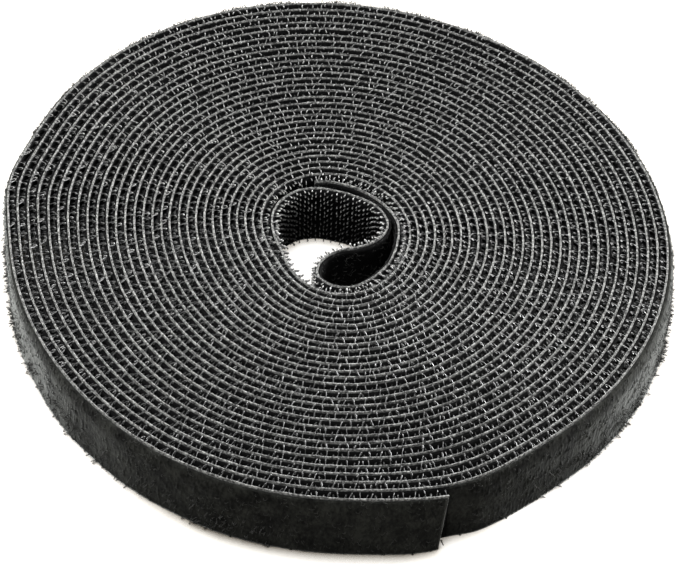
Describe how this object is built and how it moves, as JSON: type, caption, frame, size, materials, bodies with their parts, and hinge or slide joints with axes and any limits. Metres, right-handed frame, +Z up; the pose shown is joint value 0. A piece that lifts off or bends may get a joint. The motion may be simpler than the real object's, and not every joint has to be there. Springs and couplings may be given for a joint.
{
  "type": "hook and loop tape roll",
  "caption": "Coreless roll of narrow back-to-back hook and loop tape, lying flat: hooks face the middle, loops face outward, the inner end is folded back in the hole.",
  "frame": {"origin": "on the surface the roll lies on, under the middle of its outline seen from above", "axes": "+Z up, square to the flat of the roll and along the tape's width; the tape's outer end is to the right of the front, on the -Y side; seen from above the tape winds inward clockwise"},
  "size_m": [0.0914, 0.094, 0.01],
  "materials": {
    "hook_nylon": "woven black nylon ground with rows of cut monofilament hooks",
    "loop_nylon": "woven black nylon ground with a brushed, matted loop pile"
  },
  "bodies": {
    "root": {"hook_tape": "hook_nylon", "loop_tape": "loop_nylon"}
  },
  "joints": []
}
